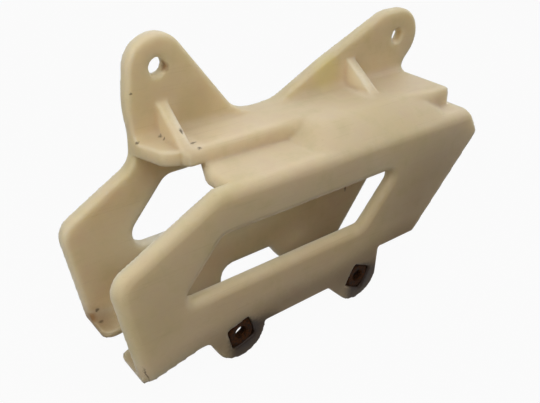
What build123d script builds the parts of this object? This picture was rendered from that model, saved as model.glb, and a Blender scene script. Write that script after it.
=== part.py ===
from build123d import *
import math
import os

os.makedirs("parts", exist_ok=True)

# All sizes in mm. X runs along the chain, +Y points out of the mounting face, +Z is up.
# The sketches below are drawn from a working origin on the bottom edge of the near plate.
# The finished solids are moved so that the origin is the front ear bore on the mounting face.

# Plates
plate = 5.0
width = 43.7
far_inner = width - plate

# Lower bosses and the bolts that cross the channel
front_boss_x = -10.9
front_boss_z = -1.0
rear_boss_x = 49.5
rear_boss_z = -1.6
boss_r = 11.1
near_bottom = -0.65
far_bottom = -1.7
bolt_clearance_r = 3.3

# Square nuts, M6 thin pattern, and their pockets
nut_side = 10.0
nut_thick = 3.2
nut_clearance = 0.15
nut_bore_r = 2.5
nut_sunk = 0.4
pocket_side = nut_side + 2 * nut_clearance
pocket_depth = nut_thick + nut_sunk
front_nut_turn = 16.0
rear_nut_turn = -27.0

# Ears on the far plate
ear_front_x = -17.9
ear_front_z = 91.1
ear_front_r = 11.25
ear_rear_x = 101.5
ear_rear_z = 83.0
ear_rear_r = 12.0
ear_bore_r = 3.2
ear_bore_round = 0.5

# Roof: a lower shelf from the near plate, falling toward the rear, and a strip along the far plate
shelf_top = 59.2
shelf_fall = 2.1
shelf_thick = 5.0
shelf_start_x = -19.6
strip_top = 66.9
strip_front = 20.4
strip_edge_round = 3.0
strip_end_round = 0.8
strip_start_x = -18.0
swell_from = 23.0
swell_full_from = 52.0
swell_full_to = 78.0
swell_front = 7.5
swell_wide = 10.0
strip_end_front = 10.7
shelf_end_x = 109.4
strip_end_x = 106.4
roof_round = 4.5
end_corner = (116.4, 47.8)

# Lips along the bottom of the mouth
lip_thick = 3.0
lip_far_inner = 26.2
lip_near_inner = 16.8
lip_length = 22.0

# Ends of the sloping bottom edges: the corner at the mouth and the notch before the front boss
near_corner = (-51.1, -3.5)
near_notch = (-25.0, 1.8)
far_corner = (-52.4, -1.9)
far_notch = (-26.0, 0.9)

# Ribs that brace the ears
rib_width = 4.4
front_rib_x = -19.4
rear_rib_x = 71.0

# Rounding
window_corner = 3.0
edge_round = 4.2
near_rim_round = 3.2
far_rim_round = 1.2
ear_edge_round = 1.8
lip_round = 5.0
crease_round = 3.5
inner_round = 3.0
mouth_round = 3.5


def side_face(points, radii):
    # A closed outline in the side view, with a radius at each numbered corner.
    face = make_face(Polyline(*points, close=True))
    for index, radius in radii.items():
        corner = Vector(points[index][0], points[index][1], 0)
        vertex = min(face.vertices(), key=lambda v: (Vector(v.X, v.Y, 0) - corner).length)
        face = fillet(vertex, radius)
    return face


def across(face, y_from, y_to):
    # Carry a side view face across the part, from one Y to another.
    return Plane.XZ.offset(-y_from) * extrude(face, amount=-(y_to - y_from))


def along(points, x_from, x_to):
    # Carry a section drawn in Y and Z along the part.
    return Plane.YZ.offset(x_from) * extrude(make_face(Polyline(*points, close=True)), amount=x_to - x_from)


def above(face, z_from, z_to):
    # Carry a plan view face upward, from one Z to another.
    return Pos(0, 0, z_from) * extrude(face, amount=z_to - z_from)


def slope_frame(start, end):
    # A frame at the start point whose X runs along the line to the end point.
    turn = math.degrees(math.atan2(end[1] - start[1], end[0] - start[0]))
    return Pos(start[0], 0, start[1]) * Rot(0, -turn, 0)


def touching(start, centre, radius, side, level):
    # Where a line from the start, just touching a circle on one side, meets a level.
    toward = math.atan2(centre[1] - start[1], centre[0] - start[0])
    reach = math.hypot(centre[0] - start[0], centre[1] - start[1])
    turn = toward + side * math.asin(min(radius / reach, 0.99))
    return (start[0] + (level - start[1]) / math.tan(turn), level)


def bore(x, z, radius, y_from, y_to):
    # A round cutter along Y.
    return Pos(x, (y_from + y_to) / 2, z) * Rot(90, 0, 0) * Cylinder(radius, y_to - y_from)


def rim(shape, y, box):
    # The edges of a side face at one Y that lie wholly inside a box in X and Z.
    x_low, z_low, x_high, z_high = box
    found = []
    for edge in shape.edges():
        b = edge.bounding_box()
        flat = abs(b.min.Y - y) < 0.001 and abs(b.max.Y - y) < 0.001
        if flat and b.min.X > x_low and b.max.X < x_high and b.min.Z > z_low and b.max.Z < z_high:
            found.append(edge)
    return found


# Near plate, seen from the side
boss_round = boss_r - 0.2
front_boss = (front_boss_x, front_boss_z)
rear_boss = (rear_boss_x, rear_boss_z)
near_foot = (33.0, near_bottom)
near_side = side_face(
    [
        near_corner,
        near_notch,
        touching(near_notch, front_boss, boss_r, -1, front_boss_z - boss_r),
        (front_boss_x + boss_r, front_boss_z - boss_r),
        (front_boss_x + boss_r, near_bottom),
        near_foot,
        touching(near_foot, rear_boss, boss_r, -1, rear_boss_z - boss_r),
        (rear_boss_x + boss_r, rear_boss_z - boss_r),
        (rear_boss_x + boss_r, 8.85),
        (82.2, 8.85),
        end_corner,
        (shelf_end_x, shelf_top),
        (shelf_start_x, shelf_top + shelf_fall),
        (-59.0, 40.6),
    ],
    {1: 4.0, 2: boss_round, 3: boss_round, 5: 1.0, 6: boss_round, 7: boss_round, 9: 2.0, 10: 2.0, 13: 8.7},
)
near_window = side_face(
    [(-35.4, 22.7), (49.5, 22.7), (67.3, 43.9), (-18.1, 43.9)],
    {0: window_corner, 1: window_corner, 2: window_corner, 3: window_corner},
)
near_plate = across(near_side - near_window, 0, plate)
near_plate = fillet(rim(near_plate, 0, (-60, 30, -20, 62)), edge_round)
near_plate = fillet(rim(near_plate, 0, (-37, 22, 70, 46)), near_rim_round)

# Far plate, which carries the ears and the mounting face
ear_rear_foot = (strip_end_x + 1.0, strip_top + 2.6)
ear_rear_end = (102.7, strip_top + 3.4 + ear_rear_r)
ear_rear_top = ear_rear_end[1] + ear_rear_r
far_side = side_face(
    [
        far_corner,
        far_notch,
        (front_boss_x - 6.5, front_boss_z - boss_r),
        (7.0, front_boss_z - boss_r),
        (7.0, far_bottom),
        (33.6, far_bottom),
        (41.2, front_boss_z - boss_r),
        (74.5, front_boss_z - boss_r),
        end_corner,
        (shelf_end_x, shelf_top),
        (strip_end_x + 0.2, strip_top),
        ear_rear_foot,
        touching(ear_rear_foot, ear_rear_end, ear_rear_r, -1, ear_rear_top),
        (93.0, ear_rear_top),
        (57.0, 78.6),
        (34.5, strip_top),
        (15.7, strip_top),
        (ear_front_x + 0.41 * ear_front_r, ear_front_z + 1.12 * ear_front_r),
        (ear_front_x - 0.92 * ear_front_r, ear_front_z + 0.782 * ear_front_r),
        (-30.5, 79.5),
        (-28.9, 67.0),
        (-29.5, 57.5),
        (-58.9, 40.2),
    ],
    {
        1: 4.0,
        2: 0.8 * boss_r,
        3: 0.3 * boss_r,
        4: 0.5 * boss_r,
        5: 1.0,
        6: 6.0,
        7: 6.0,
        8: 2.0,
        12: ear_rear_r,
        13: 16.0,
        14: 30.0,
        15: 22.0,
        16: 15.0,
        17: ear_front_r,
        18: ear_front_r,
        19: 30.0,
        20: 20.0,
        21: 8.0,
        22: 8.7,
    },
)
far_window = side_face(
    [(-39.3, 23.4), (51.3, 23.4), (70.0, 50.1), (-17.1, 50.1)],
    {0: 6.4, 1: window_corner, 2: window_corner, 3: 6.0},
)
far_plate = across(far_side - far_window, far_inner, width)
far_plate -= bore(ear_front_x, ear_front_z, ear_bore_r, far_inner - 1, width + 1)
far_plate -= bore(ear_rear_x, ear_rear_z, ear_bore_r, far_inner - 1, width + 1)
ear_edges = rim(far_plate, far_inner, (50, 72, 99, 100))
far_plate = fillet(max(ear_edges, key=lambda edge: edge.length), ear_edge_round)
far_plate = fillet(rim(far_plate, far_inner, (-41, 22, 72, 52)), far_rim_round)
for bore_x, bore_z in ((ear_front_x, ear_front_z), (ear_rear_x, ear_rear_z)):
    mouth = rim(far_plate, far_inner, (bore_x - 4, bore_z - 4, bore_x + 4, bore_z + 4))
    far_plate = fillet(mouth, ear_bore_round)

# The roof's own frame: X from its rear end, Z from its top face, tilted by its fall
roof_tilt = math.degrees(math.atan(shelf_fall / (shelf_end_x - shelf_start_x)))
roof_frame = Pos(shelf_end_x, 0, shelf_top) * Rot(0, roof_tilt, 0) * Pos(-shelf_end_x, 0, 0)

# Roof shelf, cut back in a curve at the mouth, where its top edge is rounded over
shelf_plan = side_face(
    [(-14.4, 0.5), (-15.0, 15.5), (-9.2, 27.5), (shelf_end_x, 27.5), (shelf_end_x, 0.5)],
    {1: 8.0},
)
shelf = above(shelf_plan, -shelf_thick, 0)
mouth_edges = []
for edge in shelf.edges().group_by(Axis.Z)[-1]:
    if edge.center().X < -9.2:
        mouth_edges.append(edge)
shelf = roof_frame * fillet(mouth_edges, mouth_round)

# Strip along the far plate, on top of the roof: first its end at the mouth
strip_plan = side_face(
    [
        (-29.2, width - 0.5),
        (-29.2, far_inner - 1.5),
        (-25.5, 26.0),
        (-21.0, strip_front + strip_edge_round),
        (strip_start_x, strip_front + strip_edge_round),
        (strip_start_x, width - 0.5),
    ],
    {1: 5.0, 2: 5.0},
)
strip = above(strip_plan, shelf_top, strip_top) - roof_frame * Pos(40, 0, -10.2) * Box(200, 200, 20)


def eased(x, x_from, x_to):
    # A smooth rise from 0 to 1 between two places along the chain.
    part = min(max((x - x_from) / (x_to - x_from), 0.0), 1.0)
    return part * part * (3.0 - 2.0 * part)


def strip_section(x):
    # The strip's front edge at one X: a rounded wall at both ends of the strip, a soft swell between them.
    last = eased(x, swell_full_to, strip_end_x)
    foot = strip_front - (strip_front - swell_front) * eased(x, swell_from, swell_full_from)
    foot += (strip_end_front - swell_front) * last
    soft = eased(x, swell_from, swell_from + 14.0) * (1.0 - last)
    wide = strip_edge_round + (swell_wide - strip_edge_round) * soft - (strip_edge_round - strip_end_round) * last
    low = shelf_top + (shelf_end_x - x) * shelf_fall / (shelf_end_x - shelf_start_x)
    high = strip_top - low
    front = Bezier(
        (foot, low),
        (foot + 0.2 * wide * soft, low + 0.55 * high * (1.0 - soft)),
        (foot + (0.3 + 0.2 * soft) * wide, strip_top),
        (foot + wide, strip_top),
    )
    rest = Polyline(
        (foot + wide, strip_top), (width - 0.5, strip_top), (width - 0.5, low - 0.2), (foot, low - 0.2), (foot, low)
    )
    return Plane.YZ.offset(x) * make_face([front, rest])


strip_places = [strip_start_x, swell_from]
for step in range(1, 9):
    strip_places.append(swell_from + (swell_full_from - swell_from) * step / 8)
for step in range(6):
    strip_places.append(swell_full_to + (strip_end_x - swell_full_to) * step / 5)
strip += loft([strip_section(x) for x in strip_places], ruled=True)

# Cutter that rounds the outer corner between the roof and the near plate
corner = make_face(
    [
        Line((roof_round, 0.0), (roof_round, 2.0)),
        Line((roof_round, 2.0), (-2.0, 2.0)),
        Line((-2.0, 2.0), (-2.0, -roof_round)),
        Line((-2.0, -roof_round), (0.0, -roof_round)),
        RadiusArc((0.0, -roof_round), (roof_round, 0.0), roof_round),
    ]
)
corner_cutter = roof_frame * (Plane.YZ.offset(-40.0) * extrude(corner, amount=160.0))

# Filled crease between the strip and the ears
crease = make_face(
    [
        Line((far_inner - crease_round, strip_top), (far_inner - crease_round, strip_top - 1.0)),
        Line((far_inner - crease_round, strip_top - 1.0), (far_inner + 1.0, strip_top - 1.0)),
        Line((far_inner + 1.0, strip_top - 1.0), (far_inner + 1.0, strip_top + crease_round)),
        Line((far_inner + 1.0, strip_top + crease_round), (far_inner, strip_top + crease_round)),
        RadiusArc((far_inner, strip_top + crease_round), (far_inner - crease_round, strip_top), crease_round),
    ]
)
crease_fill = Plane.YZ.offset(-29.0) * extrude(crease, amount=strip_end_x + 29.0)

# Lips that close the bottom corners of the mouth, along the sloping bottom edges
lip_near = Pos(0, 1, 0) * above(Rectangle(lip_length, lip_near_inner - 1, align=(Align.MIN, Align.MIN)), 0, lip_thick)
lip_near = fillet(lip_near.edges().filter_by(Axis.Z).group_by(Axis.Y)[-1].group_by(Axis.X)[0], 2.0)
lip_near = slope_frame(near_corner, near_notch) * lip_near
lip_section = make_face(
    [
        Line((lip_far_inner, 0.0), (width - 0.5, 0.0)),
        Line((width - 0.5, 0.0), (width - 0.5, lip_thick + lip_round)),
        Line((width - 0.5, lip_thick + lip_round), (far_inner, lip_thick + lip_round)),
        RadiusArc((far_inner, lip_thick + lip_round), (far_inner - lip_round, lip_thick), lip_round),
        Line((far_inner - lip_round, lip_thick), (lip_far_inner, lip_thick)),
        Line((lip_far_inner, lip_thick), (lip_far_inner, 0.0)),
    ]
)
lip_far = Plane.YZ * extrude(lip_section, amount=lip_length)
lip_far = fillet(lip_far.edges().filter_by(Axis.Z).group_by(Axis.Y)[0].group_by(Axis.X)[0], 4.0)
lip_far = slope_frame(far_corner, far_notch) * lip_far

# Ribs between the ears and the strip
front_rib = along(
    [(far_inner + 0.5, 61.0), (far_inner + 0.5, 79.4), (far_inner - 0.6, 79.0), (22.6, 67.0), (21.8, 65.6), (21.8, 61.0)],
    front_rib_x,
    front_rib_x + rib_width,
)
rear_rib = along(
    [(far_inner + 0.5, 66.0), (far_inner + 0.5, 78.4), (far_inner - 0.6, 78.0), (21.6, 66.9), (21.6, 66.0)],
    rear_rib_x,
    rear_rib_x + rib_width,
)

# Near side: plate and shelf, with the corner between them rounded outside and filled inside
near_part = near_plate + shelf - corner_cutter
inner_edges = []
for edge in near_part.edges():
    b = edge.bounding_box()
    if abs(b.min.Y - plate) < 0.01 and abs(b.max.Y - plate) < 0.01 and b.size.X > 80 and b.min.Z > 54:
        inner_edges.append(edge)
near_part = fillet(inner_edges, inner_round)

# Far side: plate and lip, the roof strip and the filled crease under the ears
far_part = far_plate + lip_far + strip
far_part += crease_fill & across(far_side, far_inner - 5, width)

body = near_part + far_part + lip_near + front_rib + rear_rib

# Bolt bores and nut pockets
nut_places = ((front_boss_x, front_boss_z, front_nut_turn), (rear_boss_x, rear_boss_z, rear_nut_turn))
for boss_x, boss_z, turn in nut_places:
    body -= bore(boss_x, boss_z, bolt_clearance_r, -1, plate + 1)
    body -= bore(boss_x, boss_z, bolt_clearance_r, far_inner - 1, width + 1)
    body -= (
        Pos(boss_x, pocket_depth / 2, boss_z)
        * Rot(0, -turn, 0)
        * Box(pocket_side, pocket_depth, pocket_side)
    )

# Square nuts seated on the floors of their pockets
nuts = []
for boss_x, boss_z, turn in nut_places:
    blank = Box(nut_side, nut_thick, nut_side) - Rot(90, 0, 0) * Cylinder(nut_bore_r, nut_thick)
    nuts.append(Pos(boss_x, nut_sunk + nut_thick / 2, boss_z) * Rot(0, -turn, 0) * blank)

to_datum = Pos(-ear_front_x, -width, -ear_front_z)
export_step(to_datum * body, "parts/guide_body.step")
export_step(Compound(children=[to_datum * nut for nut in nuts]), "parts/square_nuts.step")
print(body.volume, body.is_valid, len(body.solids()), body.bounding_box())
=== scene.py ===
import math

import bmesh
import bpy
from mathutils import Matrix, Vector


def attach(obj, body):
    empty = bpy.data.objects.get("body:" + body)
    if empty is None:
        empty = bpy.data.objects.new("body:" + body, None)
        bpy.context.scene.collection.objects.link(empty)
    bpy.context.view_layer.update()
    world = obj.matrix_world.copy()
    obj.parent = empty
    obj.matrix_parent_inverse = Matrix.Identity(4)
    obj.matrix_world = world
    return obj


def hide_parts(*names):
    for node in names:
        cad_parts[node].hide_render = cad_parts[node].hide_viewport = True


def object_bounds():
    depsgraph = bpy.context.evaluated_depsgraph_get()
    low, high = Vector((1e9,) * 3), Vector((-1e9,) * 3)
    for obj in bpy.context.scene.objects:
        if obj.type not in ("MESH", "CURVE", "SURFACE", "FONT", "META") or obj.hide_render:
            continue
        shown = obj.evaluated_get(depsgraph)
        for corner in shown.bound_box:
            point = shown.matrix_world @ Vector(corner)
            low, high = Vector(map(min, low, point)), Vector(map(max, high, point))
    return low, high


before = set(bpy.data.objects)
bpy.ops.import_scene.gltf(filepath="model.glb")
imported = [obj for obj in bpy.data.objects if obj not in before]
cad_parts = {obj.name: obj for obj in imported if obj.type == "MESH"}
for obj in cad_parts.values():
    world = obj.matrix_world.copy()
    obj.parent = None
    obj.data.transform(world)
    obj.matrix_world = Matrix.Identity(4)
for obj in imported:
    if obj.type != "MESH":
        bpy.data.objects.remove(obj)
cad_box = [list(corner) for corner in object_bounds()]
scene = bpy.context.scene
scene.view_settings.view_transform = "Standard"


# Camera: a normal lens close to the guide, in front of the plate with the nuts, on the side of the open mouth
# and above it, so that it looks down into the channel.
camera_sensor = 36.0
camera_lens = 43.178
camera_place = (-0.10171, -0.18962, 0.07112)
camera_turn = (59.643, -1.6705, -38.4591)
camera_data = bpy.data.cameras.new("camera")
camera_data.sensor_width = camera_sensor
camera_data.lens = camera_lens
camera_data.clip_start = 0.01
camera_data.clip_end = 20.0
camera = bpy.data.objects.new("camera", camera_data)
camera.location = camera_place
camera.rotation_euler = [math.radians(degrees) for degrees in camera_turn]
scene.collection.objects.link(camera)
scene.camera = camera


# Guide body: one injection moulding in natural nylon that keeps the chain in line with the sprocket.
# It is a few millimetres thick, so light enters it and softens every edge. Years of use have turned it
# beige, and rust has bled out of the nut pockets. Painted shade darkens the plate with the nuts, its rear end
# and lower edge, the bosses (with some oil on them) and the lips; painted light brightens the channel and the
# ribs.
mm = 0.001
front_nut = Vector((7.0, -43.3, -92.1)) * mm
rear_nut = Vector((67.4, -43.3, -92.7)) * mm


def linear(code):
    # An sRGB hex colour as linear values.
    channels = []
    for start in (0, 2, 4):
        value = int(code[start : start + 2], 16) / 255
        channels.append(value / 12.92 if value <= 0.04045 else ((value + 0.055) / 1.055) ** 2.4)
    return (*channels, 1.0)


def add(tree, kind, settings=None, **inputs):
    # One node with its settings, and its inputs as values or as other nodes' sockets. An input is named as
    # its socket is, or by its number where sockets share a name. A colour mix has its colours at 6 and 7.
    node = tree.nodes.new(kind)
    for name, value in (settings or {}).items():
        setattr(node, name, value)
    for name, value in inputs.items():
        numbered = name[0] == "i" and name[1:].isdigit()
        socket = node.inputs[int(name[1:])] if numbered else node.inputs[name.replace("_", " ")]
        if isinstance(value, bpy.types.NodeSocket):
            tree.links.new(value, socket)
        else:
            socket.default_value = value
    return node


def new_material(name):
    # A material with no nodes yet.
    material = bpy.data.materials.new(name)
    material.use_nodes = True
    material.node_tree.nodes.clear()
    return material


def spot(tree, place, colour, code, strength, centre, half, fade, curve, turn=0.0):
    # Lays one colour over an egg-shaped part of the nylon, and gives the new colour and the mask. The centre
    # and half sizes are in millimetres, the turn about Y in degrees, the fade in shares of the half sizes.
    middle, radii = Vector(centre) * mm, Vector(half) * mm
    apart = add(tree, "ShaderNodeVectorMath", {"operation": "SUBTRACT"}, i0=place, i1=middle)
    if turn:
        apart = add(
            tree,
            "ShaderNodeVectorRotate",
            {"rotation_type": "Y_AXIS"},
            Vector=apart.outputs[0],
            Angle=math.radians(turn),
        )
    shares = add(tree, "ShaderNodeVectorMath", {"operation": "DIVIDE"}, i0=apart.outputs[0], i1=radii)
    reach = add(tree, "ShaderNodeVectorMath", {"operation": "LENGTH"}, i0=shares.outputs[0])
    mask = add(
        tree,
        "ShaderNodeMapRange",
        {"interpolation_type": curve},
        Value=reach.outputs["Value"],
        From_Min=fade[0],
        From_Max=fade[1],
        To_Min=0.0,
        To_Max=strength,
    ).outputs[0]
    mixed = add(tree, "ShaderNodeMix", {"data_type": "RGBA"}, i0=mask, i6=colour, i7=linear(code))
    return mixed.outputs[2], mask


# Natural nylon, moulded against a fine spark-eroded tool: a waxy, half-clear beige with a low soft sheen,
# yellower where it has aged, with no grain of its own beyond faint sinks and handling scratches.
nylon_colour = "d3c1a0"
aged_colour = "cbb98e"
aged_size = 35 * mm
damp_colour = "bfb287"
dusty_colour = "cdb59a"
blotch_size = 9 * mm
ragged_size = 1.2 * mm
ragged_push = 1.6 * mm
grease_colour = "8a7455"
streak_long = 25 * mm
streak_wide = 0.7 * mm
sink_size = 14 * mm
sink_depth = 0.5 * mm
tool_grain_size = 0.5 * mm
tool_grain_depth = 0.06 * mm
scratch_depth = 0.05 * mm
light_reach = 12 * mm
nylon = new_material("nylon_natural_moulded_aged")
tree = nylon.node_tree
place = add(tree, "ShaderNodeTexCoord").outputs["Object"]

# Dirt and stains have ragged borders, so their masks read a place that a fine noise has pushed about.
ragged = add(tree, "ShaderNodeTexNoise", Vector=place, Scale=1 / ragged_size, Detail=2.0)
pushed = add(
    tree, "ShaderNodeVectorMath", {"operation": "SUBTRACT"}, i0=ragged.outputs["Color"], i1=(0.5, 0.5, 0.5)
)
pushed = add(tree, "ShaderNodeVectorMath", {"operation": "SCALE"}, i0=pushed.outputs[0], Scale=ragged_push)
dirt_place = add(tree, "ShaderNodeVectorMath", {"operation": "ADD"}, i0=place, i1=pushed.outputs[0])
dirt_place = dirt_place.outputs[0]

# Ageing in wide patches
patches = add(tree, "ShaderNodeTexNoise", Vector=place, Scale=1 / aged_size, Detail=2.0, Roughness=0.4)
aged = add(
    tree,
    "ShaderNodeMapRange",
    Value=patches.outputs[0],
    From_Min=0.4,
    From_Max=0.68,
    To_Min=0.0,
    To_Max=0.55,
)
colour = add(
    tree,
    "ShaderNodeMix",
    {"data_type": "RGBA"},
    i0=aged.outputs[0],
    i6=linear(nylon_colour),
    i7=linear(aged_colour),
).outputs[2]

# Faint blotches, greener where old nylon has taken up water and pinker where it holds dust
blotches = add(tree, "ShaderNodeTexNoise", Vector=place, Scale=1 / blotch_size, Detail=3.0, Roughness=0.6)
for code, blotch_full, blotch_strength in ((damp_colour, 0.72, 0.40), (dusty_colour, 0.30, 0.35)):
    blotch = add(
        tree,
        "ShaderNodeMapRange",
        Value=blotches.outputs[0],
        From_Min=0.50,
        From_Max=blotch_full,
        To_Min=0.0,
        To_Max=blotch_strength,
    )
    tone = linear(code)
    mixed = add(tree, "ShaderNodeMix", {"data_type": "RGBA"}, i0=blotch.outputs[0], i6=colour, i7=tone)
    colour = mixed.outputs[2]

# Wide patches of painted light and shade, each with its colour, its strength, and its centre and half sizes
# in millimetres
wide_fade = (1.15, 0.35)
painted_light_and_shade = [
    # Painted shade, darker and yellower, in the creases at the ears' feet
    ("d3c68e", 0.60, (78.0, -5.0, -17.0), (9.0, 7.0, 10.0)),
    ("b9a87c", 0.35, (14.0, -5.0, -17.0), (9.0, 7.0, 10.0)),
    # Painted light inside the channel, for the glow through the thin far wall, and on the two ribs' lit sides
    ("efe6d0", 0.80, (32.0, -4.0, -62.0), (62.0, 7.0, 24.0)),
    ("e9dcc4", 0.80, (4.5, -15.0, -17.5), (5.0, 12.0, 11.0)),
    ("e9dcc4", 0.70, (87.5, -15.0, -17.5), (5.0, 12.0, 11.0)),
    # Painted shade over the plate with the nuts, which faces away from the light, and on the shadowed lips at
    # the mouth
    ("a98f66", 0.35, (60.0, -49.0, -72.0), (110.0, 11.0, 48.0)),
    ("8d7352", 0.85, (-34.0, -8.0, -95.0), (13.0, 14.0, 11.0)),
    ("9a8466", 0.60, (-36.0, -35.0, -95.0), (12.0, 12.0, 10.0)),
    # Painted shade at the rear end of the plate with the nuts and along its unlit lower edge
    ("8d7355", 0.45, (118.0, -44.0, -68.0), (45.0, 9.0, 34.0)),
    ("6f5539", 0.55, (90.0, -44.0, -88.0), (42.0, 9.0, 14.0)),
    ("6f5539", 0.58, (34.0, -44.0, -93.0), (66.0, 9.0, 14.0)),
]
for code, strength, centre, half in painted_light_and_shade:
    colour, mask = spot(tree, dirt_place, colour, code, strength, centre, half, wide_fade, "SMOOTHSTEP")

# Painted shade with some oil on the bosses' lower sides, and rust round the pockets, are opaque, so they stop
# the light that would enter the nylon.
opaque_fade = (1.15, 0.65)
opaque_stains_and_shade = [
    # Painted shade on the bosses' lower sides, which face away from the light, with some oil on them
    ("2b1a0a", 0.94, (15.5, -43.0, -101.0), (16.0, 11.0, 14.0)),
    ("2b1a0a", 0.94, (75.5, -43.0, -101.5), (16.0, 11.0, 14.0)),
    # Rust round the two nut pockets
    ("1c0f07", 0.94, (8.2, -43.0, -93.2), (7.4, 6.0, 7.4)),
    ("1c0f07", 0.92, (68.6, -43.0, -93.8), (7.2, 6.0, 7.2)),
]
cover = 0.0
for code, strength, centre, half in opaque_stains_and_shade:
    colour, mask = spot(tree, dirt_place, colour, code, strength, centre, half, opaque_fade, "SMOOTHSTEP")
    cover = add(tree, "ShaderNodeMath", {"operation": "MAXIMUM"}, i0=mask, i1=cover).outputs[0]

# Grease and dust in thin faint streaks that run along the chain's way
streak_place = add(
    tree, "ShaderNodeMapping", Vector=place, Scale=(1 / streak_long, 1 / streak_wide, 1 / streak_wide)
)
streaks = add(tree, "ShaderNodeTexNoise", Vector=streak_place.outputs[0], Scale=1.0, Detail=2.0)
streak_mask = add(
    tree,
    "ShaderNodeMapRange",
    Value=streaks.outputs[0],
    From_Min=0.60,
    From_Max=0.80,
    To_Min=0.0,
    To_Max=0.12,
)
colour = add(
    tree,
    "ShaderNodeMix",
    {"data_type": "RGBA"},
    i0=streak_mask.outputs[0],
    i6=colour,
    i7=linear(grease_colour),
).outputs[2]

# Small marks, each with its colour, its centre and half sizes in millimetres, and its turn about Y in degrees
soot = "463520"
crack = "5d472c"
ochre = "7d5526"
mark_fade = (1.5, 0.5)
mark_strength = 0.8
marks = [
    (crack, (-32.2, -43.5, -89.9), (0.28, 3.0, 3.0), 14.0),
    (ochre, (-34.7, -6.9, -88.9), (1.6, 2.4, 1.2), 20.0),
    (soot, (-31.9, -5.7, -87.2), (0.7, 1.5, 0.5), 0.0),
    (soot, (-32.6, -9.9, -89.8), (0.8, 0.8, 0.6), 0.0),
    (soot, (-10.5, -5.0, -7.2), (0.5, 1.5, 0.4), 0.0),
    (soot, (-11.0, -7.1, -23.9), (0.9, 0.5, 0.6), 0.0),
    (soot, (-1.7, -7.4, -24.0), (0.9, 0.7, 0.7), 0.0),
    (soot, (-1.5, -9.8, -23.9), (0.7, 0.5, 0.6), 0.0),
    (soot, (1.7, -15.4, -19.7), (0.6, 0.9, 1.1), 0.0),
    (soot, (4.9, -17.5, -24.2), (1.3, 0.5, 0.6), 0.0),
    (soot, (5.2, -21.5, -24.6), (0.7, 0.6, 0.7), 0.0),
    (soot, (95.8, -5.0, -77.5), (0.6, 1.5, 1.1), 0.0),
    (ochre, (3.1, -3.9, -0.6), (1.2, 1.4, 1.7), 0.0),
]
for code, centre, half, turn in marks:
    colour, mask = spot(
        tree, dirt_place, colour, code, mark_strength, centre, half, mark_fade, "LINEAR", turn=turn
    )
    cover = add(tree, "ShaderNodeMath", {"operation": "MAXIMUM"}, i0=mask, i1=cover).outputs[0]

# Relief: sinks where the walls cooled, the tool's fine grain, and scratches along the streaks
sinks = add(tree, "ShaderNodeTexNoise", Vector=place, Scale=1 / sink_size, Detail=1.0)
relief = add(tree, "ShaderNodeBump", Strength=0.35, Distance=sink_depth, Height=sinks.outputs[0])
tool_grain = add(tree, "ShaderNodeTexNoise", Vector=place, Scale=1 / tool_grain_size, Detail=2.0)
relief = add(
    tree,
    "ShaderNodeBump",
    Strength=0.25,
    Distance=tool_grain_depth,
    Height=tool_grain.outputs[0],
    Normal=relief.outputs[0],
)
scratches = add(
    tree,
    "ShaderNodeMapRange",
    Value=streaks.outputs[0],
    From_Min=0.62,
    From_Max=0.70,
    To_Min=0.0,
    To_Max=1.0,
)
relief = add(
    tree,
    "ShaderNodeBump",
    Strength=0.4,
    Distance=-scratch_depth,
    Height=scratches.outputs[0],
    Normal=relief.outputs[0],
)
handled = add(
    tree,
    "ShaderNodeMapRange",
    Value=patches.outputs[0],
    From_Min=0.35,
    From_Max=0.65,
    To_Min=0.42,
    To_Max=0.56,
)
clear = add(tree, "ShaderNodeMath", {"operation": "SUBTRACT"}, i0=1.0, i1=cover)
shader = add(
    tree,
    "ShaderNodeBsdfPrincipled",
    Base_Color=colour,
    Roughness=handled.outputs[0],
    IOR=1.53,
    Specular_IOR_Level=0.16,
    Subsurface_Weight=clear.outputs[0],
    Subsurface_Radius=(1.0, 0.92, 0.78),
    Subsurface_Scale=light_reach,
    Normal=relief.outputs[0],
)
add(tree, "ShaderNodeOutputMaterial", Surface=shader.outputs[0])

# The roof of the real guide swells up in front of the strip's low wall, so the wall shows only near its ends.
# A rounded wedge fills that corner: its top is level with the strip behind, and falls ever more steeply to
# the roof at the near rim in front. It rises at one end of the roof and fades out at the other.
roof_level = -30.5 * mm
roof_level_x = 43.4 * mm
roof_fall = 0.0164
strip_level = -24.2 * mm
wedge_start = 38.0 * mm
wedge_full_from = 56.0 * mm
wedge_full_to = 107.0 * mm
wedge_end = 123.0 * mm
wedge_under_strip = -18.0 * mm
wedge_back = -25.0 * mm
wedge_front = -41.5 * mm
wedge_inside = -33.5 * mm
wedge_front_drop = 0.63 * mm
wedge_power = 1.6
wedge_sunk = 1.0 * mm
wedge_top_gap = 0.02 * mm
wedge_steps_x = 56
wedge_steps_y = 16


def eased(value, start, end):
    # A smooth rise from 0 at the start to 1 at the end.
    share = min(1.0, max(0.0, (value - start) / (end - start)))
    return share * share * (3 - 2 * share)


def stretch(value, rise_from, rise_to, fall_from, fall_to):
    # 1 along a stretch and 0 outside it, with a smooth rise and fall.
    return eased(value, rise_from, rise_to) * (1 - eased(value, fall_from, fall_to))


def wedge_top(x, y):
    # The wedge's height over one point of the roof, which itself falls slightly to the rear.
    roof = roof_level - (x - roof_level_x) * roof_fall
    share = min(1.0, max(0.0, (wedge_back - y) / (wedge_back - wedge_front)))
    full = strip_level - (strip_level - roof + wedge_front_drop) * share**wedge_power
    strength = stretch(x, wedge_start, wedge_full_from, wedge_full_to, wedge_end)
    return full * strength + (roof - wedge_sunk) * (1 - strength)


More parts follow.
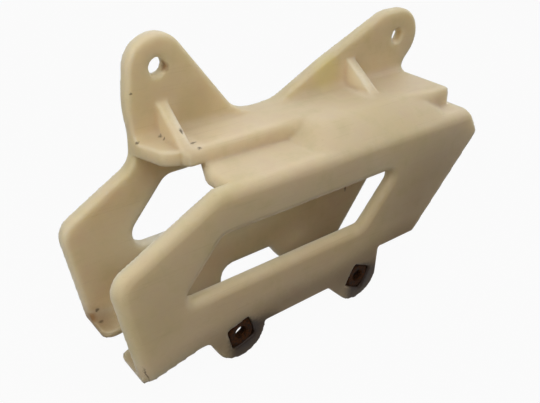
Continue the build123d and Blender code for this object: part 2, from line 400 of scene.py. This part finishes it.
shape = bmesh.new()
shape.from_mesh(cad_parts["guide_body"].data)
bmesh.ops.remove_doubles(shape, verts=shape.verts, dist=0.001 * mm)
layers = []
for top in (True, False):
    layer = []
    for i in range(wedge_steps_x + 1):
        x = wedge_start + (wedge_end - wedge_start) * i / wedge_steps_x
        row = []
        for j in range(wedge_steps_y + 1):
            y = wedge_under_strip + (wedge_front - wedge_under_strip) * j / wedge_steps_y
            z = wedge_top(x, y) - wedge_top_gap if top else wedge_inside
            row.append(shape.verts.new((x, y, z)))
        layer.append(row)
    layers.append(layer)
for layer in layers:
    for i in range(wedge_steps_x):
        for j in range(wedge_steps_y):
            quad = (layer[i][j], layer[i + 1][j], layer[i + 1][j + 1], layer[i][j + 1])
            shape.faces.new(quad if layer is layers[1] else quad[::-1])
rim = [(i, 0) for i in range(wedge_steps_x)]
rim += [(wedge_steps_x, j) for j in range(wedge_steps_y)]
rim += [(i, wedge_steps_y) for i in range(wedge_steps_x, 0, -1)]
rim += [(0, j) for j in range(wedge_steps_y, 0, -1)]
for (i0, j0), (i1, j1) in zip(rim, rim[1:] + rim[:1]):
    shape.faces.new((layers[0][i0][j0], layers[0][i1][j1], layers[1][i1][j1], layers[1][i0][j0]))

# Inside the channel the far bosses show no hole, so a wall closes the inner end of each far bore.
far_plate_inner = -5.0 * mm
bore_wall_r = 3.8 * mm
bore_wall_thick = 3.0 * mm
bore_wall_middle = far_plate_inner + bore_wall_thick / 2 + 0.01 * mm
for nut_place in (front_nut, rear_nut):
    middle = Matrix.Translation((nut_place.x, bore_wall_middle, nut_place.z))
    bmesh.ops.create_cone(
        shape,
        cap_ends=True,
        segments=32,
        radius1=bore_wall_r,
        radius2=bore_wall_r,
        depth=bore_wall_thick,
        matrix=middle @ Matrix.Rotation(math.pi / 2, 4, "X"),
    )
moulded = bpy.data.meshes.new("guide_body_moulded")
shape.to_mesh(moulded)
shape.free()
source = bpy.data.objects.new("guide_body_source", moulded)
scene.collection.objects.link(source)
body = bpy.data.objects.new("guide_body_moulded", moulded)
scene.collection.objects.link(body)

# One skin of small squares goes over the body, the wedge and the walls, clings to them and is relaxed. That
# rounds every moulded edge by about half a millimetre, as the tool and the wear have.
skin_size = 0.78 * mm
remesh = body.modifiers.new("skin", "REMESH")
remesh.mode = "VOXEL"
remesh.voxel_size = skin_size
cling = body.modifiers.new("cling", "SHRINKWRAP")
cling.target = source
cling.wrap_method = "NEAREST_SURFACEPOINT"
relax = body.modifiers.new("relax", "SMOOTH")
relax.factor = 0.5
relax.iterations = 4
evaluated = body.evaluated_get(bpy.context.evaluated_depsgraph_get())
moulded = bpy.data.meshes.new_from_object(evaluated)
body.modifiers.clear()
body.data = moulded
bpy.data.objects.remove(source)

# The swell is relaxed further, so that it flows into the strip and the roof up to its two ends.
swell_x = (44.0 * mm, 60.0 * mm, 98.0 * mm, 110.0 * mm)
swell_z = (-34.0 * mm, -31.0 * mm, -24.0 * mm, -23.2 * mm)
swell_back_from = -16.0 * mm
swell_back_to = -11.0 * mm
swell = body.vertex_groups.new(name="swell")
for vertex in moulded.vertices:
    x, y, z = vertex.co
    strength = stretch(x, *swell_x) * stretch(z, *swell_z) * (1 - eased(y, swell_back_from, swell_back_to))
    if strength > 0:
        swell.add([vertex.index], strength, "REPLACE")
relax = body.modifiers.new("relax_swell", "SMOOTH")
relax.factor = 0.8
relax.iterations = 30
relax.vertex_group = "swell"
evaluated = body.evaluated_get(bpy.context.evaluated_depsgraph_get())
moulded = bpy.data.meshes.new_from_object(evaluated)
body.modifiers.clear()
body.vertex_groups.clear()
body.data = moulded
for vertex in moulded.vertices:
    for axis in range(3):
        vertex.co[axis] = min(cad_box[1][axis], max(cad_box[0][axis], vertex.co[axis]))
for face in moulded.polygons:
    face.use_smooth = True
moulded.materials.clear()
moulded.materials.append(nylon)
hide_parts("guide_body")
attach(body, "root")


# Square nuts: two equal M6 nuts, pressed and tapped, that lie in the body's pockets until screws hold them.
# Their outer faces have the press's round chamfer, and all of the steel has gone brown with rust and oil.
nut_turns = (-16.0, 27.0)
nut_half = 5.0 * mm
nut_thick = 3.2 * mm
nut_belt = 0.6
nut_edge_break = 0.15 * mm
corner_power = 14
chamfer_r = 4.75 * mm
chamfer_inset = 0.02 * mm
chamfer_slope = math.tan(math.radians(30))
thread_minor = 2.52 * mm
thread_major = 3.02 * mm
thread_pitch = 1.0 * mm
thread_flat = 0.1
thread_mouth = 0.12 * mm
thread_rows = 40
steps_round = 64


def square_r(angle):
    # How far the nut's rounded square outline is from its axis.
    spread = abs(math.cos(angle)) ** corner_power + abs(math.sin(angle)) ** corner_power
    return nut_half / spread ** (1 / corner_power)


def nut_mesh(name):
    # One nut about the Y axis, its outer face at zero and its body towards +Y. Rows of points go over the
    # outer face, down the sides, over the inner face and back along the thread.
    angles = [2 * math.pi * step / steps_round for step in range(steps_round)]
    mouth = thread_major + thread_mouth
    rows = [[(mouth, 0.0) for angle in angles]]
    for share in (0.0, 0.5, 1.0):
        row = []
        for angle in angles:
            start = min(chamfer_r, square_r(angle) - chamfer_inset)
            out = start + share * (square_r(angle) - start)
            row.append((out, max(0.0, out - chamfer_r) * chamfer_slope))
        rows.append(row)
    rows.append([(square_r(angle), nut_thick * nut_belt) for angle in angles])
    rows.append([(square_r(angle), nut_thick - nut_edge_break) for angle in angles])
    rows.append([(square_r(angle) - nut_edge_break, nut_thick) for angle in angles])
    rows.append([(mouth, nut_thick) for angle in angles])
    for step in range(thread_rows + 1):
        depth = nut_thick - thread_mouth - (nut_thick - 2 * thread_mouth) * step / thread_rows
        row = []
        for angle in angles:
            phase = (depth / thread_pitch - angle / (2 * math.pi)) % 1.0
            cut = (abs(2 * phase - 1) - thread_flat) / (1 - 2 * thread_flat)
            cut = min(1.0, max(0.0, cut))
            row.append((thread_minor + (thread_major - thread_minor) * cut, depth))
        rows.append(row)
    shape = bmesh.new()
    points = []
    for row in rows:
        ring = []
        for (r, depth), angle in zip(row, angles):
            ring.append(shape.verts.new((r * math.cos(angle), depth, r * math.sin(angle))))
        points.append(ring)
    for first, second in zip(points, points[1:] + points[:1]):
        for step in range(steps_round):
            after = (step + 1) % steps_round
            shape.faces.new((first[step], first[after], second[after], second[step]))
    bmesh.ops.recalc_face_normals(shape, faces=shape.faces)
    mesh = bpy.data.meshes.new(name)
    shape.to_mesh(mesh)
    shape.free()
    return mesh


# Plain carbon steel, pressed and left bare: rust and old oil give it a dull brown-black skin that flakes in
# patches about 1 mm wide, redder where it is rough. Next to no bare metal shows, so it hardly shines.
oiled_rust = "0e0804"
dry_rust = "4a2a12"
flake_size = 1.1 * mm
flake_depth = 0.12 * mm
steel = new_material("steel_pressed_rusted")
tree = steel.node_tree
place = add(tree, "ShaderNodeTexCoord").outputs["Object"]
flakes = add(tree, "ShaderNodeTexNoise", Vector=place, Scale=1 / flake_size, Detail=4.0, Roughness=0.65)
tone = add(tree, "ShaderNodeValToRGB", Fac=flakes.outputs[0])
tone.color_ramp.elements[0].position = 0.35
tone.color_ramp.elements[0].color = linear(oiled_rust)
tone.color_ramp.elements[1].position = 0.7
tone.color_ramp.elements[1].color = linear(dry_rust)
rough = add(
    tree,
    "ShaderNodeMapRange",
    Value=flakes.outputs[0],
    From_Min=0.3,
    From_Max=0.7,
    To_Min=0.62,
    To_Max=0.9,
)
relief = add(tree, "ShaderNodeBump", Strength=0.6, Distance=flake_depth, Height=flakes.outputs[0])
shader = add(
    tree,
    "ShaderNodeBsdfPrincipled",
    Base_Color=tone.outputs[0],
    Roughness=rough.outputs[0],
    Metallic=0.1,
    Specular_IOR_Level=0.08,
    Normal=relief.outputs[0],
)
add(tree, "ShaderNodeOutputMaterial", Surface=shader.outputs[0])

# A Geometry Nodes tree puts the one nut on each pocket's point, turned as its pocket is.
pattern = bpy.data.objects.new("nut_pattern", nut_mesh("nut_pattern"))
pockets = bpy.data.meshes.new("square_nuts_rusted")
pockets.from_pydata([front_nut, rear_nut], [], [])
turns = pockets.attributes.new("turn", "FLOAT", "POINT")
for number, degrees in enumerate(nut_turns):
    turns.data[number].value = math.radians(degrees)
nuts = bpy.data.objects.new("square_nuts_rusted", pockets)
scene.collection.objects.link(nuts)
tree = bpy.data.node_groups.new("nuts_in_pockets", "GeometryNodeTree")
tree.interface.new_socket("Pockets", in_out="INPUT", socket_type="NodeSocketGeometry")
nut_socket = tree.interface.new_socket("Nut", in_out="INPUT", socket_type="NodeSocketObject")
scale_socket = tree.interface.new_socket("Nut Scale", in_out="INPUT", socket_type="NodeSocketFloat")
tree.interface.new_socket("Nuts", in_out="OUTPUT", socket_type="NodeSocketGeometry")
given = add(tree, "NodeGroupInput")
turn = add(tree, "GeometryNodeInputNamedAttribute", {"data_type": "FLOAT"}, Name="turn")
about_y = add(tree, "ShaderNodeCombineXYZ", Y=turn.outputs[0])
one_nut = add(tree, "GeometryNodeObjectInfo", Object=given.outputs["Nut"])
points = add(tree, "GeometryNodeMeshToPoints", Mesh=given.outputs["Pockets"])
placed = add(
    tree,
    "GeometryNodeInstanceOnPoints",
    Points=points.outputs[0],
    Instance=one_nut.outputs["Geometry"],
    Rotation=about_y.outputs[0],
    Scale=given.outputs["Nut Scale"],
)
solid = add(tree, "GeometryNodeRealizeInstances", Geometry=placed.outputs[0])
coated = add(tree, "GeometryNodeSetMaterial", Geometry=solid.outputs[0], Material=steel)
result = add(tree, "NodeGroupOutput")
tree.links.new(coated.outputs[0], result.inputs[0])
placing = nuts.modifiers.new("nuts_in_pockets", "NODES")
placing.node_group = tree
placing[nut_socket.identifier] = pattern
placing[scale_socket.identifier] = 1.0
evaluated = nuts.evaluated_get(bpy.context.evaluated_depsgraph_get())
nuts_mesh = bpy.data.meshes.new_from_object(evaluated)
nuts.modifiers.remove(placing)
nuts.data = nuts_mesh
bpy.data.objects.remove(pattern)
for face in nuts_mesh.polygons:
    face.use_smooth = True
nuts_mesh.set_sharp_from_angle(angle=math.radians(28))
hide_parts("square_nuts")
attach(nuts, "root")


# Floor and light: a pale paper floor under the bosses and a pale room, both white to the eye and nearly dark
# as lights. The strongest lamps are high in front of the guide and high behind it, and one stands low behind
# it, so that its edges and thin walls glow.
floor_half = 6.0
paper_grey = 0.24
paper_white_share = 0.95
room_strength = 0.02
white = (1, 1, 1, 1)


def seen_by(tree, rays):
    # 1 for the named kinds of rays and 0 for all others.
    kinds = add(tree, "ShaderNodeLightPath")
    seen = 0.0
    for ray in rays:
        either = add(tree, "ShaderNodeMath", {"operation": "MAXIMUM"}, i0=kinds.outputs[ray], i1=seen)
        seen = either.outputs[0]
    return seen


low = cad_box[0][2]
corners = [Vector((x, y, 0)) * floor_half for x, y in ((-1, -1), (1, -1), (1, 1), (-1, 1))]
floor_mesh = bpy.data.meshes.new("floor")
floor_mesh.from_pydata([(corner.x, corner.y, low) for corner in corners], [], [(0, 1, 2, 3)])
floor = bpy.data.objects.new("floor", floor_mesh)
scene.collection.objects.link(floor)
paper = new_material("paper_pale_backdrop")
tree = paper.node_tree
seen = seen_by(tree, ("Is Camera Ray", "Is Glossy Ray", "Is Transmission Ray"))
shown = add(tree, "ShaderNodeMath", {"operation": "MULTIPLY"}, i0=seen, i1=paper_white_share)
matt = add(tree, "ShaderNodeBsdfDiffuse", Color=(paper_grey, paper_grey, paper_grey, 1))
bright = add(tree, "ShaderNodeEmission", Color=white, Strength=1.0)
mixed = add(tree, "ShaderNodeMixShader", i0=shown.outputs[0], i1=matt.outputs[0], i2=bright.outputs[0])
add(tree, "ShaderNodeOutputMaterial", Surface=mixed.outputs[0])
floor_mesh.materials.append(paper)

world = bpy.data.worlds.new("room")
world.use_nodes = True
scene.world = world
tree = world.node_tree
tree.nodes.clear()
seen = seen_by(tree, ("Is Camera Ray", "Is Glossy Ray"))
room_light = add(tree, "ShaderNodeBackground", Color=white, Strength=room_strength)
room_white = add(tree, "ShaderNodeBackground", Color=white, Strength=1.0)
mixed = add(tree, "ShaderNodeMixShader", i0=seen, i1=room_light.outputs[0], i2=room_white.outputs[0])
add(tree, "ShaderNodeOutputWorld", Surface=mixed.outputs[0])


def soft_box(name, azimuth, height, power, distance=0.7, size=0.5, target=(0.03, -0.02, -0.05)):
    # A square lamp that faces a point on the guide, by its direction from there in degrees.
    # Azimuth 0 is in front of the plate with the nuts, and 90 is the rear end of the guide.
    around, up = math.radians(azimuth), math.radians(height)
    way = Vector((math.sin(around) * math.cos(up), -math.cos(around) * math.cos(up), math.sin(up)))
    data = bpy.data.lights.new(name, "AREA")
    data.shape = "SQUARE"
    data.size = size
    data.energy = power
    lamp = bpy.data.objects.new(name, data)
    lamp.location = Vector(target) + distance * way
    lamp.rotation_mode = "QUATERNION"
    lamp.rotation_quaternion = (-way).to_track_quat("-Z", "Y")
    lamp.visible_camera = False
    scene.collection.objects.link(lamp)


mouth_side = {"distance": 0.3, "size": 0.2, "target": (-0.02, -0.04, -0.06)}
soft_box("soft_box_behind", 180, 15, 1.02)
soft_box("soft_box_right", 90, 25, 0.64)
soft_box("soft_box_high_right", 90, 55, 0.60)
soft_box("soft_box_high_behind", 135, 50, 1.26)
soft_box("soft_box_high_front", 0, 55, 1.85)
soft_box("soft_box_front", 335, 15, 0.22)
soft_box("soft_box_left", 275, 30, 0.37, **mouth_side)
soft_box("soft_box_high_left", 300, 60, 0.23, **mouth_side)
